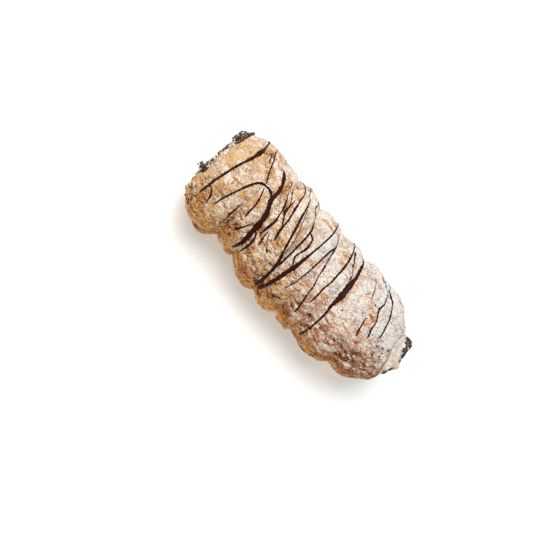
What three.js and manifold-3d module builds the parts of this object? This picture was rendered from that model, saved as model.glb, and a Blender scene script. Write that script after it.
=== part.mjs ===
// A puff pastry cannoli, lying on its side.
//
// A strip of puff pastry is wound into a tapering roll of seven coils and baked. It is filled with
// cream, which swells over the narrow rim to a peak. Crumbs stick to the cream at both ends and to the
// wide rim, and chocolate is drizzled across the top.
//
// Millimetres. +X runs along the roll, from its wide end to its narrow end, and +Z is up. The roll
// rests on z = 0. An angle round the roll starts at the top and grows towards the front, which is -Y.

import * as THREE from 'three';
import { mergeVertices } from 'three/addons/utils/BufferGeometryUtils.js';
import Module from 'manifold-3d';

const manifoldLibrary = await Module();
manifoldLibrary.setup();

// ---------------------------------------------------------------- driving dimensions

const ROLL_LENGTH = 122;
const ROLL_RADIUS = 25;
const AXIS_HEIGHT = 24; // a little less than the radius, so that the coils lie on flat spots
const WIDE_END = -ROLL_LENGTH / 2;
const END_FADE = 9; // the lumps die away over this length towards each rim

// Both rims, which the strip leaves uneven, as [degrees round the roll, x].
const WIDE_RIM = [
  [-180, -60], [-120, -58], [-85, -57.6], [-50, -59.1], [-34, -59.8], [-20, -60.4], [-8, -61.4],
  [0, -62.1], [13, -62.3], [28, -61.8], [37, -61], [46, -60.6], [57, -61.9], [66, -61.9], [76, -61.1],
  [101, -60.9], [180, -60],
];
const NARROW_RIM = [
  [-180, 57], [-120, 54], [-54, 53.8], [-18, 52.4], [0, 53.3], [15, 55.8], [33, 57.2], [45, 58.6],
  [75, 59.5], [115, 59.6], [180, 57],
];

const WIDE_BORE_RADIUS = 14.5;
const NARROW_BORE_RADIUS = 11.5;
const WIDE_BORE_SHIFT = 1.6; // the bore lies this far off the axis, towards the back
const NARROW_BORE_SHIFT = 3;
const CREAM_GAP = 0.35;
const RIM_GAP = 0.7; // between the narrow rim and the cream that swells over it

// The cream's face at the wide end, as [x, share of the bore that it fills].
const CREAM_FACE = [[-62.6, 0.35], [-62.2, 0.7], [-61, 0.97], [-60, 1]];

// The cap of cream over the narrow rim, up to the peak that the nozzle left, as [x, share of the roll's
// outline].
const CREAM_CAP = [
  [52, 0.95], [59, 0.95], [60, 0.93], [60.8, 0.81], [61.5, 0.62], [62.2, 0.44], [63, 0.31],
  [64, 0.19], [64.8, 0.08],
];
const PEAK_X = 64.8;
const PEAK_SHIFT = 4.5; // the peak lies this far off the axis
const PEAK_ANGLE = THREE.MathUtils.degToRad(-35);

// Both sides of the roll where its outline was measured.
const FRONT = THREE.MathUtils.degToRad(115);
const BACK = THREE.MathUtils.degToRad(-65);

// Radius at the crests of the coils and on over the cap, as [x, radius].
const FRONT_CREST = [
  [-61, 17.6], [-56.5, 21], [-53, 23.6], [-43, 26.2], [-37, 25.4], [-30, 21.8], [-22, 24.6],
  [-12, 25.8], [2, 25.4], [17, 23.9], [30, 24.6], [37, 23.6], [44, 20.6], [51.5, 17],
  [55.5, 14.2], [58.5, 11.4], [60.7, 9.4], [62.5, 8],
];
const BACK_CREST = [
  [-61, 19.4], [-56.5, 21.8], [-50, 24.2], [-44, 25.2], [-28, 25], [-3, 25.2], [8, 24.8],
  [31, 25.4], [37, 25.1], [43, 23.5], [47.5, 21.7], [52, 19], [55.5, 17.3], [58, 16.8],
  [60, 16.5], [62, 15.6],
];

// The edge of the wound strip, each half turn from the back: where it lies and how deep its groove is.
const FIRST_SEAM = -2;
const SEAM_X = [
  -79, -61, -43, -35, -30.5, -23.5, -15, -5, 0.5, 9, 15, 19.5, 29.5, 42, 55.5, 61.5, 76,
];
const SEAM_DEPTH = [0, 0, 0.9, 5.2, 1.8, 3.4, 3.1, 3.2, 2.1, 3.1, 1.9, 1.8, 1.1, 3.2, 0.8, 0, 0];
const COIL_LEAN = 1.36; // above 1, a coil swells slowly from its left seam and drops steeply at its right
const COIL_SQUARENESS = 2.6;

// Bumps in the crust: the size of a bump and its height.
const LUMPS = [
  { cell: 19, height: 0.9, layer: 1 },
  { cell: 8.5, height: 0.9, layer: 2 },
  { cell: 4.4, height: 0.45, layer: 3 },
];

const CRUST_ROWS = 64;
const CRUST_COLUMNS = 42;
const BORE_ROWS = 3;
const CREAM_COLUMNS = 28;
const CAP_ROWS = 11;

// Thick strokes of chocolate: the width in the middle, and a route as [x, degrees round the roll].
const STROKES = [
  { width: 1.9, route: [[-53, -90], [-51.4, -38], [-51.5, -22], [-53.9, 11], [-55.3, 40], [-55.4, 64]] },
  { width: 1.2, route: [[-49.5, -90], [-46.8, -46], [-42.9, -13], [-39.7, -2]] },
  { width: 1.5, route: [[-47.4, 54], [-46.9, 40], [-43.3, 10], [-39.5, 0], [-35.1, 2], [-33.6, 6]] },
  {
    width: 3,
    route: [[-38.9, -32], [-34.6, -15], [-32.9, 6], [-29.7, 18], [-27.9, 33], [-26.1, 64], [-27.1, 78]],
  },
  { width: 1.2, route: [[-25.2, -43], [-23, -10], [-21.2, 6], [-18.5, 31]] },
  { width: 1.7, route: [[-23.5, -80], [-22.8, -40], [-18, -4], [-12.2, 30], [-9.7, 43], [-7.2, 88]] },
  { width: 1.3, route: [[-18.5, -80], [-16.6, -31], [-12, -17], [-10.8, -9], [-8.4, 46]] },
  { width: 1.7, route: [[-4, -90], [-3.2, -33], [-3.7, 8], [-3.9, 34], [-5.3, 92]] },
  { width: 1.3, route: [[7.5, -70], [8.1, -42], [10.4, -22], [11.7, 15], [12.7, 43]] },
  { width: 2.6, route: [[14, -80], [16, -42], [18.4, -4], [19.7, 19], [19.9, 29], [22.3, 64], [22.6, 89]] },
  { width: 1.2, route: [[27, -80], [32.6, -56], [36, -38], [41.5, -19], [45.2, 7]] },
];
const STROKE_STEP = 5.5;
const STROKE_HEIGHT = 0.45; // how far a stroke stands out of the crust, as a share of its half width
const STROKE_BASE_HEIGHT = 0.35;
const STROKE_SINK = 1.1;
const STROKE_END_WIDTH = 0.55; // as a share of the width in the middle
const STROKE_SHOULDER = { across: 0.8, up: 0.6 }; // as shares of a stroke's half width and of its height

// Crumbs on the wide rim and on the cream, as [how many, smallest radius, largest radius].
const WIDE_RIM_CRUMBS = [36, 1, 1.7];
const WIDE_CREAM_CRUMBS = [28, 1.2, 2];
const NARROW_CRUMBS = [24, 0.9, 1.4];
const WIDE_CRUMB_ARC = 5.2; // the crumbs cling to this arc of the wide rim, and leave its front bare
const WIDE_RIM_SPREAD = 0.9; // as a share of the rim's thickness
const WIDE_RIM_LIFT = 0.4; // how far a crumb's middle stands off the rim, as a share of its radius
const WIDE_CREAM_RELIEF = [-62.6, -61.2]; // the x of a crumb in the middle of the cream and at its edge

// The crumbs on the cap: the side they cling to, half the arc that they spread over, and the stretch
// of x that they lie on. Some of them cling below the peak, at the front.
const BACK_CRUMBS = { middle: THREE.MathUtils.degToRad(-48), halfArc: 0.85, stretch: [59, 61.2] };
const FRONT_CRUMBS = { middle: THREE.MathUtils.degToRad(28), halfArc: 0.25, stretch: [60.2, 62] };
const FRONT_CRUMB_SHARE = 0.25;

const CRUMB_CORNERS = [0.75, 1.1]; // how far out a crumb's corners lie, as shares of its radius
const CRUMB_REACH = 1.12; // a little more than the furthest corner
const GOLDEN_TURN = 2.4;
const CRUMB_SEED = 20;
const WELD = 1e-4; // corners closer than this are one

// ---------------------------------------------------------------- numbers

const { lerp, clamp, smoothstep, degToRad, radToDeg, euclideanModulo } = THREE.MathUtils;

// A seeded random draw from 0 to 1, the same on each run.
const DRAW = { multiplier: 1664525, increment: 1013904223, range: 2 ** 32 };

function seededRandom(seed) {
  let state = seed;
  return () => {
    state = (state * DRAW.multiplier + DRAW.increment) % DRAW.range;
    return state / DRAW.range;
  };
}

// A smooth curve through [place, value] knots, level beyond both ends.
function throughKnots(knots, place) {
  const last = knots.length - 1;
  if (place <= knots[0][0]) return knots[0][1];
  if (place >= knots[last][0]) return knots[last][1];
  const k = knots.findIndex(([end]) => end > place) - 1;
  const slope = (i) => {
    const [before, after] = [knots[Math.max(i - 1, 0)], knots[Math.min(i + 1, last)]];
    return (after[1] - before[1]) / (after[0] - before[0]);
  };
  const span = knots[k + 1][0] - knots[k][0];
  const t = (place - knots[k][0]) / span;
  const rise = knots[k + 1][1] - knots[k][1];
  const bend = t * (1 - t) * ((1 - t) * (slope(k) * span - rise) - t * (slope(k + 1) * span - rise));
  return knots[k][1] + t * rise + bend;
}

// A fixed value from -1 to 1 for each point of a lattice, the fraction of a steep wave.
const WAVE = { i: 127.1, j: 311.7, layer: 74.7, height: 43758.5453 };

function latticeValue(i, j, layer) {
  const wave = Math.sin(i * WAVE.i + j * WAVE.j + layer * WAVE.layer) * WAVE.height;
  return 2 * (wave - Math.floor(wave)) - 1;
}

// Smooth bumps over the crust, from -1 to 1, that close on themselves after a turn round the roll.
function bumps(x, angle, cell, layer) {
  const around = Math.round((2 * Math.PI * ROLL_RADIUS) / cell);
  const u = x / cell;
  const v = (angle / (2 * Math.PI)) * around;
  const [i, j] = [Math.floor(u), Math.floor(v)];
  const [fu, fv] = [smoothstep(u - i, 0, 1), smoothstep(v - j, 0, 1)];
  const at = (di, dj) => latticeValue(i + di, euclideanModulo(j + dj, around), layer);
  return lerp(lerp(at(0, 0), at(1, 0), fu), lerp(at(0, 1), at(1, 1), fu), fv);
}

// ---------------------------------------------------------------- the form of the roll

const seamKnots = (values) => values.map((value, i) => [FIRST_SEAM + i, value]);
const SEAM_PLACE_KNOTS = seamKnots(SEAM_X);
const SEAM_DEPTH_KNOTS = seamKnots(SEAM_DEPTH);

// 1 at the front of the roll, 0 at the back.
const frontShare = (angle) => 0.5 + 0.5 * Math.cos(angle - FRONT);

const wrappedDegrees = (angle) => euclideanModulo(radToDeg(angle) + 180, 360) - 180;
const wideEnd = (angle) => throughKnots(WIDE_RIM, wrappedDegrees(angle));
const narrowEnd = (angle) => throughKnots(NARROW_RIM, wrappedDegrees(angle));

const crestRadius = (x, angle) => (
  lerp(throughKnots(BACK_CREST, x), throughKnots(FRONT_CREST, x), frontShare(angle))
);

// How far the crust dips below the crest of its coil.
function coilDip(x, angle) {
  const firstTurn = euclideanModulo((angle - BACK) / Math.PI, 2);
  let seam = firstTurn + FIRST_SEAM;
  while (throughKnots(SEAM_PLACE_KNOTS, seam + 2) <= x && seam + 2 < FIRST_SEAM + SEAM_X.length - 1) {
    seam += 2;
  }
  const left = throughKnots(SEAM_PLACE_KNOTS, seam);
  const right = throughKnots(SEAM_PLACE_KNOTS, seam + 2);
  const across = clamp((x - left) / (right - left), 0, 1);
  const leftDepth = throughKnots(SEAM_DEPTH_KNOTS, seam);
  const rightDepth = throughKnots(SEAM_DEPTH_KNOTS, seam + 2);
  const fromCrest = Math.abs(2 * across ** COIL_LEAN - 1);
  return lerp(leftDepth, rightDepth, across) * fromCrest ** COIL_SQUARENESS;
}

// Distance from the axis to the crust.
function crustRadius(x, angle) {
  const fromEnds = Math.min(x - wideEnd(angle), narrowEnd(angle) - x);
  const fade = smoothstep(fromEnds, 0, END_FADE);
  const heights = LUMPS.map(({ cell, height, layer }) => height * bumps(x, angle, cell, layer));
  const lumps = heights.reduce((sum, height) => sum + height, 0);
  const radius = crestRadius(x, angle) - coilDip(x, angle) + fade * lumps;
  const floorward = -Math.cos(angle);
  return floorward > 0 ? Math.min(radius, AXIS_HEIGHT / floorward) : radius;
}

// A point of the roll, from its place along the axis, its angle and its distance from the axis.
function rollPoint(x, angle, radius) {
  const z = AXIS_HEIGHT + radius * Math.cos(angle);
  return new THREE.Vector3(x, -radius * Math.sin(angle), Math.abs(z) < WELD ? 0 : z);
}

const crustPoint = (x, angle, out = 0) => rollPoint(x, angle, crustRadius(x, angle) + out);

// The bore narrows evenly along the roll and drifts off the axis towards the back.
const alongRoll = (x) => (x - WIDE_END) / ROLL_LENGTH;
const boreMiddle = (x) => rollPoint(x, BACK, lerp(WIDE_BORE_SHIFT, NARROW_BORE_SHIFT, alongRoll(x)));

function borePoint(x, angle, inset = 0) {
  const radius = lerp(WIDE_BORE_RADIUS, NARROW_BORE_RADIUS, alongRoll(x)) - inset;
  return boreMiddle(x).add(new THREE.Vector3(0, -radius * Math.sin(angle), radius * Math.cos(angle)));
}

// ---------------------------------------------------------------- closed surfaces

// Rings of points joined into one closed surface. Each ring runs round the roll in the same direction.
function skin(rings, join) {
  const columns = rings[0].length;
  const faces = [];
  const quad = (a, b, c, d) => faces.push(a, c, b, a, d, c);
  for (let i = 0; i + 1 < rings.length + (join === 'loop' ? 1 : 0); i += 1) {
    const next = (i + 1) % rings.length;
    for (let j = 0; j < columns; j += 1) {
      const k = (j + 1) % columns;
      quad(i * columns + j, next * columns + j, next * columns + k, i * columns + k);
    }
  }
  const points = rings.flat();
  if (join === 'capped') {
    const capped = [[rings[0], 0, 1], [rings.at(-1), (rings.length - 1) * columns, -1]];
    for (const [ring, start, side] of capped) {
      const middle = ring.reduce((sum, p) => sum.add(p), new THREE.Vector3()).divideScalar(columns);
      points.push(middle);
      for (let j = 0; j < columns; j += 1) {
        const [a, b] = [start + j, start + ((j + 1) % columns)];
        faces.push(points.length - 1, side > 0 ? b : a, side > 0 ? a : b);
      }
    }
  }
  const geometry = new THREE.BufferGeometry().setFromPoints(points);
  geometry.setIndex(faces);
  return geometry;
}

function solidOf(geometry) {
  const bare = geometry.clone();
  bare.deleteAttribute('normal');
  bare.deleteAttribute('uv');
  const merged = mergeVertices(bare, WELD);
  return new manifoldLibrary.Manifold(new manifoldLibrary.Mesh({
    numProp: 3,
    vertProperties: new Float32Array(merged.attributes.position.array),
    triVerts: new Uint32Array(merged.index.array),
  }));
}

// Joins toppings to what carries them, and keeps the one body that holds them all.
function fuse(base, toppings) {
  const joined = toppings.reduce((sum, topping) => sum.add(solidOf(topping)), solidOf(base));
  const bodies = joined.decompose().sort((a, b) => b.volume() - a.volume());
  const mesh = bodies[0].getMesh();
  const geometry = new THREE.BufferGeometry();
  const positions = new Float32Array((mesh.vertProperties.length / mesh.numProp) * 3);
  for (let i = 0; i < positions.length / 3; i += 1) {
    positions.set(mesh.vertProperties.subarray(i * mesh.numProp, i * mesh.numProp + 3), i * 3);
  }
  geometry.setAttribute('position', new THREE.BufferAttribute(positions, 3));
  geometry.setIndex(new THREE.BufferAttribute(new Uint32Array(mesh.triVerts), 1));
  return geometry;
}

// ---------------------------------------------------------------- pastry

const evenAngles = (count) => Array.from({ length: count }, (_, j) => (2 * Math.PI * j) / count);

function pastryShell() {
  const angles = evenAngles(CRUST_COLUMNS);
  const rings = [];
  for (let i = 0; i <= CRUST_ROWS; i += 1) {
    rings.push(angles.map((angle) => {
      const x = lerp(wideEnd(angle), narrowEnd(angle), i / CRUST_ROWS);
      return crustPoint(x, angle);
    }));
  }
  for (let i = 0; i <= BORE_ROWS; i += 1) {
    rings.push(angles.map((angle) => (
      borePoint(lerp(narrowEnd(angle), wideEnd(angle), i / BORE_ROWS), angle)
    )));
  }
  return skin(rings, 'loop');
}

// A stroke of chocolate: a low five-sided bead along its route, thin at both ends.
function chocolateStroke({ width, route }) {
  const guide = new THREE.CatmullRomCurve3(
    route.map(([x, degrees]) => new THREE.Vector3(x, degToRad(degrees) * ROLL_RADIUS, 0)),
    false,
    'centripetal',
  );
  const steps = Math.round(guide.getLength() / STROKE_STEP);
  const places = guide.getSpacedPoints(steps).map((p) => [p.x, p.y / ROLL_RADIUS]);
  const path = places.map(([x, angle]) => crustPoint(x, angle));
  const rings = path.map((point, i) => {
    const outward = new THREE.Vector3(0, -Math.sin(places[i][1]), Math.cos(places[i][1]));
    const forward = path[Math.min(i + 1, steps)].clone().sub(path[Math.max(i - 1, 0)]).normalize();
    const side = forward.cross(outward).normalize();
    const half = (width / 2) * lerp(STROKE_END_WIDTH, 1, Math.sin((Math.PI * i) / steps));
    const top = STROKE_BASE_HEIGHT + half * STROKE_HEIGHT;
    const section = [
      [-half, -STROKE_SINK],
      [-STROKE_SHOULDER.across * half, STROKE_SHOULDER.up * top],
      [0, top],
      [STROKE_SHOULDER.across * half, STROKE_SHOULDER.up * top],
      [half, -STROKE_SINK],
    ];
    return section.map(([across, up]) => (
      point.clone().addScaledVector(side, across).addScaledVector(outward, up)
    ));
  });
  return skin(rings, 'capped');
}

// ---------------------------------------------------------------- crumbs

// An uneven crumb with 20 faces.
function crumb(centre, radius, random) {
  const bare = new THREE.IcosahedronGeometry(radius, 0).deleteAttribute('normal').deleteAttribute('uv');
  const shape = mergeVertices(bare, WELD);
  const turn = new THREE.Euler(random() * Math.PI, random() * Math.PI, random() * Math.PI);
  const position = shape.attributes.position;
  for (let i = 0; i < position.count; i += 1) {
    const corner = new THREE.Vector3().fromBufferAttribute(position, i);
    corner.multiplyScalar(lerp(...CRUMB_CORNERS, random())).applyEuler(turn).add(centre);
    position.setXYZ(i, corner.x, corner.y, corner.z);
  }
  return shape;
}

// Crumbs on an end of the roll. place gives the point that a crumb of that radius sits on.
function crumbsOn([count, smallest, largest], random, place) {
  return Array.from({ length: count }, (_, i) => {
    const radius = lerp(smallest, largest, random());
    return crumb(place(i / count, radius, random), radius, random);
  });
}

// ---------------------------------------------------------------- nodes

function named(name, geometry, material) {
  const mesh = new THREE.Mesh(geometry, material);
  mesh.name = name;
  return mesh;
}

function pastry(random) {
  const rimCrumbs = crumbsOn(WIDE_RIM_CRUMBS, random, (share, radius) => {
    const angle = BACK + WIDE_CRUMB_ARC * (share - 0.5);
    const x = wideEnd(angle);
    const inner = borePoint(x, angle, -radius * CRUMB_REACH - CREAM_GAP);
    return inner.lerp(crustPoint(x, angle), WIDE_RIM_SPREAD * random()).setX(x - WIDE_RIM_LIFT * radius);
  });
  const geometry = fuse(pastryShell(), [...STROKES.map(chocolateStroke), ...rimCrumbs]);
  const material = new THREE.MeshStandardMaterial({ color: '#dcb886', roughness: 0.85, metalness: 0 });
  return named('pastry', geometry, material);
}

const capStart = (angle) => narrowEnd(angle) + RIM_GAP;

// A point of the cap of cream, whose middle drifts from the bore's to the peak.
function capPoint(x, angle) {
  const start = capStart(angle);
  const peak = rollPoint(PEAK_X, PEAK_ANGLE, PEAK_SHIFT);
  const middle = boreMiddle(start).lerp(peak, (x - start) / (PEAK_X - start));
  const outline = rollPoint(x, angle, crestRadius(x, angle));
  return middle.lerp(outline, throughKnots(CREAM_CAP, x)).setX(x);
}

function creamCore() {
  const angles = evenAngles(CREAM_COLUMNS);
  const face = CREAM_FACE.map(([x, share]) => angles.map((angle) => (
    boreMiddle(x).lerp(borePoint(x, angle, CREAM_GAP), share)
  )));
  const neck = angles.map((angle) => borePoint(capStart(angle), angle, CREAM_GAP));
  const cap = Array.from({ length: CAP_ROWS + 1 }, (_, i) => angles.map((angle) => (
    capPoint(lerp(capStart(angle), PEAK_X, i / CAP_ROWS), angle)
  )));
  return skin([...face, neck, ...cap], 'capped');
}

function cream(random) {
  const wideCrumbs = crumbsOn(WIDE_CREAM_CRUMBS, random, (share, radius) => {
    const spiral = GOLDEN_TURN * share * WIDE_CREAM_CRUMBS[0];
    const edge = borePoint(WIDE_END, spiral, CREAM_GAP + radius * CRUMB_REACH);
    return boreMiddle(WIDE_END).lerp(edge, Math.sqrt(share)).setX(lerp(...WIDE_CREAM_RELIEF, share));
  });
  const narrowCrumbs = crumbsOn(NARROW_CRUMBS, random, (share) => {
    const { middle, halfArc, stretch } = share < FRONT_CRUMB_SHARE ? FRONT_CRUMBS : BACK_CRUMBS;
    return capPoint(lerp(...stretch, random()), middle + halfArc * lerp(-1, 1, random()));
  });
  const geometry = fuse(creamCore(), [...wideCrumbs, ...narrowCrumbs]);
  const material = new THREE.MeshStandardMaterial({ color: '#f5efcf', roughness: 0.55, metalness: 0 });
  return named('cream', geometry, material);
}

const random = seededRandom(CRUMB_SEED);
const cannoli = new THREE.Group();
cannoli.add(pastry(random), cream(random));

export default cannoli;
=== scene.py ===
"""A puff pastry cannoli on a pale floor.

A strip of puff pastry is wound into a tapering roll, baked and filled with cream. Crumbs stick to both
ends, fine sugar lies over the crust, and chocolate is drizzled across the top. The form of the roll is
worked out in millimetres, as in the solid, and turned into metres where each mesh is made. +X runs
along the roll, from its wide end to its narrow end. An angle round the roll starts at the top and
grows towards the front, which is -Y.
"""

import math

import bpy
import numpy as np
from mathutils import Matrix, Vector


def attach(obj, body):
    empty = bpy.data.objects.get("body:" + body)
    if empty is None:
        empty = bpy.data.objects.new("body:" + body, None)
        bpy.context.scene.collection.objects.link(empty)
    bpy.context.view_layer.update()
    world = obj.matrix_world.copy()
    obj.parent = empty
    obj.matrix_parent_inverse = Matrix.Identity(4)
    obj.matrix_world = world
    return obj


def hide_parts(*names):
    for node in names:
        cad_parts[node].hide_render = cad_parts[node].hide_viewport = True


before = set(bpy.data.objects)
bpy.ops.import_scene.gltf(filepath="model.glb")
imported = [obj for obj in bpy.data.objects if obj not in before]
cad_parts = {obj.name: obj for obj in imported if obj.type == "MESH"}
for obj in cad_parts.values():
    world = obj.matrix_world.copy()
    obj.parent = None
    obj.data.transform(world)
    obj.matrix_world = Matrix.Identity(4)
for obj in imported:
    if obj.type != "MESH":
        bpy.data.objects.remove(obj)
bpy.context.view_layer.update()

# ---- driving dimensions, in millimetres

METRES = 0.001
ROLL_LENGTH = 122.0
ROLL_RADIUS = 25.0
AXIS_HEIGHT = 24.0
WIDE_END = -ROLL_LENGTH / 2
END_FADE = 9.0  # how far inside the rims the coils' lumps have their full height

# The uneven rims, as (degrees round the roll, x).
WIDE_RIM = [
    (-180, -60), (-120, -58), (-85, -57.6), (-50, -59.1), (-34, -59.8), (-20, -60.4), (-8, -61.4),
    (0, -62.1), (13, -62.3), (28, -61.8), (37, -61), (46, -60.6), (57, -61.9), (66, -61.9), (76, -61.1),
    (101, -60.9), (180, -60),
]
NARROW_RIM = [
    (-180, 57), (-120, 54), (-54, 53.8), (-18, 52.4), (0, 53.3), (15, 55.8), (33, 57.2), (45, 58.6),
    (75, 59.5), (115, 59.6), (180, 57),
]

# The bore tapers, and lies off the axis towards the back line.
WIDE_BORE_RADIUS = 14.5
NARROW_BORE_RADIUS = 11.5
WIDE_BORE_SHIFT = 1.6
NARROW_BORE_SHIFT = 3.0
BORE_DEPTHS = (0, 3, 9)  # of the rings of points inside each rim
CREAM_GAP = 0.35  # between the bore and the cream
RIM_GAP = 0.7  # between the narrow rim and the cap of cream

# The peak of the cap of cream, off the axis.
PEAK_X = 64.8
PEAK_SHIFT = 4.5
PEAK_ANGLE = math.radians(-35)

# Two lines along the roll, half a turn apart, and the crests of the coils on each, as (x, radius).
FRONT = math.radians(115)
BACK = math.radians(-65)
FRONT_CREST = [
    (-61, 17.6), (-56.5, 21), (-53, 23.6), (-43, 26.2), (-37, 25.4), (-30, 21.8), (-22, 24.6),
    (-12, 25.8), (2, 25.4), (17, 23.9), (30, 24.6), (37, 23.6), (44, 20.6), (51.5, 17),
    (55.5, 14.2), (58.5, 11.4), (60.7, 9.4), (62.5, 8),
]
BACK_CREST = [
    (-61, 19.4), (-56.5, 21.8), (-50, 24.2), (-44, 25.2), (-28, 25), (-3, 25.2), (8, 24.8),
    (31, 25.4), (37, 25.1), (43, 23.5), (47.5, 21.7), (52, 19), (55.5, 17.3), (58, 16.8),
    (60, 16.5), (62, 15.6),
]

# Where the wound strip's seam crosses the back and the front line in turn, and its groove's depth there.
FIRST_SEAM = -2
SEAM_X = [-79, -61, -43, -35, -30.5, -23.5, -15, -5, 0.5, 9, 15, 19.5, 29.5, 42, 55.5, 61.5, 76]
SEAM_DEPTH = [0, 0, 0.9, 5.2, 1.8, 3.4, 3.1, 3.2, 2.1, 3.1, 1.9, 1.8, 1.1, 3.2, 0.8, 0, 0]
COIL_LEAN = 1.36  # above 1, a coil is thickest towards the narrow end
COIL_SQUARENESS = 2.6  # above 2, it is flat across and steep at its seams

# Bumps are given as rows of (size, height, layer of the lattice).
LUMPS = [(19, 0.9, 1), (8.5, 0.9, 2), (4.4, 0.45, 3)]

CRUST_ROWS = 268
CRUST_COLUMNS = 340
COLUMN_CROWDING = 0.28  # how much closer the columns lie on the crowded side
CROWDED_SIDE = math.radians(25)

# ---- the form of the roll


def smooth(values, low=0.0, high=1.0):
    """Rises from 0 at low to 1 at high."""
    t = np.clip((np.asarray(values, float) - low) / (high - low), 0, 1)
    return t * t * (3 - 2 * t)


def mix(a, b, share):
    return a + (b - a) * share


def through_knots(knots, place):
    """A smooth curve through (place, value) knots, level beyond both ends."""
    at, value = np.array(knots, float).T
    last = len(at) - 1
    before, after = np.maximum(np.arange(last + 1) - 1, 0), np.minimum(np.arange(last + 1) + 1, last)
    slope = (value[after] - value[before]) / (at[after] - at[before])
    place = np.clip(np.asarray(place, float), at[0], at[-1])
    k = np.clip(np.searchsorted(at, place, side="right") - 1, 0, last - 1)
    span, rise = at[k + 1] - at[k], value[k + 1] - value[k]
    t = (place - at[k]) / span
    bend = t * (1 - t) * ((1 - t) * (slope[k] * span - rise) - t * (slope[k + 1] * span - rise))
    return value[k] + t * rise + bend


# A wave so steep that its fraction looks random from point to point.
WAVE_I, WAVE_J, WAVE_LAYER, WAVE_HEIGHT = 127.1, 311.7, 74.7, 43758.5453


def lattice_value(i, j, layer):
    """A fixed value from -1 to 1 for each point of a lattice."""
    wave = np.sin(i * WAVE_I + j * WAVE_J + layer * WAVE_LAYER) * WAVE_HEIGHT
    return 2 * (wave - np.floor(wave)) - 1


def bumps(x, angle, cell, layer, stretch=1.0):
    """Smooth bumps over the crust, from -1 to 1, stretched along the roll."""
    around = round(2 * math.pi * ROLL_RADIUS / cell)
    u, v = x / (cell * stretch), angle / (2 * math.pi) * around
    i, j = np.floor(u), np.floor(v)
    fu, fv = smooth(u - i), smooth(v - j)

    def at(di, dj):
        return lattice_value(i + di, np.mod(j + dj, around), layer)

    return mix(mix(at(0, 0), at(1, 0), fu), mix(at(0, 1), at(1, 1), fu), fv)


def layered(x, angle, rows, start=0.0):
    """Bumps of several sizes together, from (size, height, layer) rows."""
    return sum((height * bumps(x, angle, cell, layer) for cell, height, layer in rows), start)


PLATE_STRAY = 0.4  # how far a plate's middle strays from the lattice


def plates(x, angle, cell, layer, stretch=1.0):
    """Uneven plates over the crust: the distance to the plate's middle, and the plate's own value."""
    around = round(2 * math.pi * ROLL_RADIUS / cell)
    u, v = x / (cell * stretch), angle / (2 * math.pi) * around
    i, j = np.floor(u), np.floor(v)
    nearest, own = np.full(np.shape(u), np.inf), np.zeros(np.shape(u))
    for di in (-1, 0, 1):
        for dj in (-1, 0, 1):
            column = np.mod(j + dj, around)
            du = i + di + 0.5 + PLATE_STRAY * lattice_value(i + di, column, layer) - u
            dv = j + dj + 0.5 + PLATE_STRAY * lattice_value(i + di, column, layer + 0.5) - v
            far = np.hypot(du, dv)
            closer = far < nearest
            nearest = np.where(closer, far, nearest)
            own = np.where(closer, lattice_value(i + di, column, layer + 0.7), own)
    return nearest, own


def dome(far, reach=1.0):
    """The height of a round dome, 1 in its middle and 0 at its reach."""
    return np.sqrt(np.clip(1 - (far / reach) ** 2, 0, 1))


def front_share(angle):
    return 0.5 + 0.5 * np.cos(angle - FRONT)


def turned_from(middle, angle):
    """How far an angle is turned from a middle, the short way round."""
    return np.mod(angle - middle + math.pi, 2 * math.pi) - math.pi


def wrapped_degrees(angle):
    return np.degrees(turned_from(0, angle))


def wide_end(angle):
    return through_knots(WIDE_RIM, wrapped_degrees(angle))


def narrow_end(angle):
    return through_knots(NARROW_RIM, wrapped_degrees(angle))


def crest_radius(x, angle):
    return mix(through_knots(BACK_CREST, x), through_knots(FRONT_CREST, x), front_share(angle))


def from_ends(x, angle):
    """The distance to the nearer rim, less than 0 beyond it."""
    return np.minimum(x - wide_end(angle), narrow_end(angle) - x)


SEAM_PLACES = list(enumerate(SEAM_X, FIRST_SEAM))
SEAM_DEPTHS = list(enumerate(SEAM_DEPTH, FIRST_SEAM))
LAST_SEAM = FIRST_SEAM + len(SEAM_X) - 1


def coil_place(x, angle):
    """Where a point lies on its coil: the share across it, the coil's width and its groove's depth."""
    seam = np.mod((angle - BACK) / math.pi, 2) + FIRST_SEAM
    for _ in range(len(SEAM_X) // 2):
        onward = (through_knots(SEAM_PLACES, seam + 2) <= x) & (seam + 2 < LAST_SEAM)
        seam = np.where(onward, seam + 2, seam)
    left, right = through_knots(SEAM_PLACES, seam), through_knots(SEAM_PLACES, seam + 2)
    across = np.clip((x - left) / (right - left), 0, 1)
    depth = mix(through_knots(SEAM_DEPTHS, seam), through_knots(SEAM_DEPTHS, seam + 2), across)
    return across, right - left, depth


def smooth_radius(x, angle):
    """Distance from the axis to the crust, without its fine relief."""
    across, _, depth = coil_place(x, angle)
    dip = depth * np.abs(2 * across**COIL_LEAN - 1) ** COIL_SQUARENESS
    return crest_radius(x, angle) - dip + smooth(from_ends(x, angle), 0, END_FADE) * layered(x, angle, LUMPS)


def on_floor(radius, angle):
    """Keeps a distance from the axis above the floor."""
    floorward = np.maximum(-np.cos(angle), 1e-6)
    return np.where(np.cos(angle) < 0, np.minimum(radius, AXIS_HEIGHT / floorward), radius)


def roll_point(x, angle, radius):
    y, z = -radius * np.sin(angle), AXIS_HEIGHT + radius * np.cos(angle)
    return np.stack(np.broadcast_arrays(x, y, z), -1)


def bore_middle(x):
    along = (x - WIDE_END) / ROLL_LENGTH
    return roll_point(x, BACK, mix(WIDE_BORE_SHIFT, NARROW_BORE_SHIFT, along))


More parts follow.
